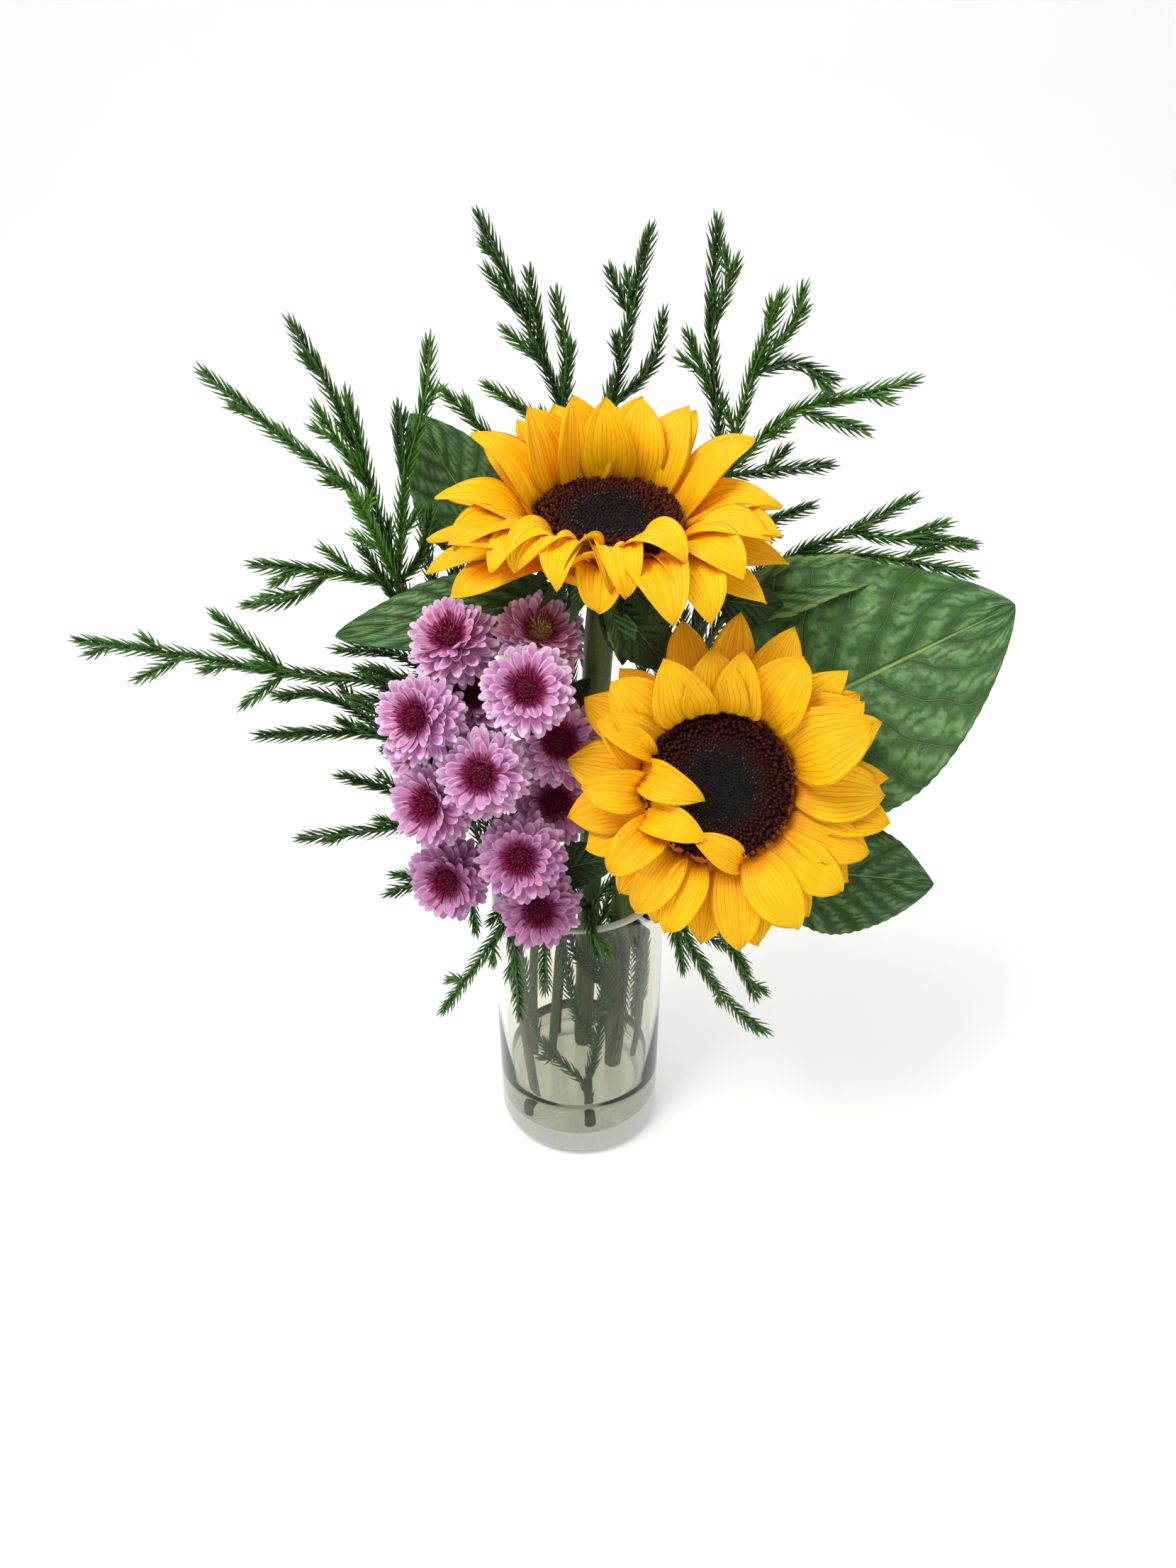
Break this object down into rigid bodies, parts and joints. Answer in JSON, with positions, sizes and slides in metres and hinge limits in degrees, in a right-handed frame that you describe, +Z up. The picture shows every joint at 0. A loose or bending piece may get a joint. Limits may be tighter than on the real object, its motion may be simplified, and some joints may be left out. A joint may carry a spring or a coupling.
{
  "type": "sunflowers in a vase",
  "caption": "Cut sunflowers with lilac pompon chrysanthemums, broad leaves and cedar sprays, standing in a little water in a clear glass cylinder vase",
  "frame": {"origin": "centre of the vase's underside, on the surface that it stands on", "axes": "+Z up, -Y the side that the flowers face, +X to the right as seen from that side"},
  "size_m": [0.3698, 0.1635, 0.4213],
  "materials": {
    "glass": "polished",
    "water": "polished",
    "leaf_green": "satin",
    "sunflower_petal": "satin",
    "sunflower_disc": "matte",
    "mum_petal": "satin",
    "mum_eye": "matte",
    "cedar": "satin"
  },
  "bodies": {
    "root": {"cedar_back": "cedar", "cedar_centre": "cedar", "cedar_left": "cedar", "cedar_right": "cedar", "cedar_rim": "cedar", "mum_01_eye": "mum_eye", "mum_01_petals": "mum_petal", "mum_02_eye": "mum_eye", "mum_02_petals": "mum_petal", "mum_03_eye": "mum_eye", "mum_03_petals": "mum_petal", "mum_04_eye": "mum_eye", "mum_04_petals": "mum_petal", "mum_05_eye": "mum_eye", "mum_05_petals": "mum_petal", "mum_06_eye": "mum_eye", "mum_06_petals": "mum_petal", "mum_07_eye": "mum_eye", "mum_07_petals": "mum_petal", "mum_08_eye": "mum_eye", "mum_08_petals": "mum_petal", "mum_09_eye": "mum_eye", "mum_09_petals": "mum_petal", "mum_10_eye": "mum_eye", "mum_10_petals": "mum_petal", "mum_11_eye": "mum_eye", "mum_11_petals": "mum_petal", "mum_12_eye": "mum_eye", "mum_12_petals": "mum_petal", "mum_13_eye": "mum_eye", "mum_13_petals": "mum_petal", "mum_stem_1": "leaf_green", "mum_stem_2": "leaf_green", "sunflower_lower_disc": "sunflower_disc", "sunflower_lower_petals": "sunflower_petal", "sunflower_lower_stem": "leaf_green", "sunflower_upper_disc": "sunflower_disc", "sunflower_upper_petals": "sunflower_petal", "sunflower_upper_stem": "leaf_green", "vase": "glass", "water": "water"}
  },
  "joints": []
}
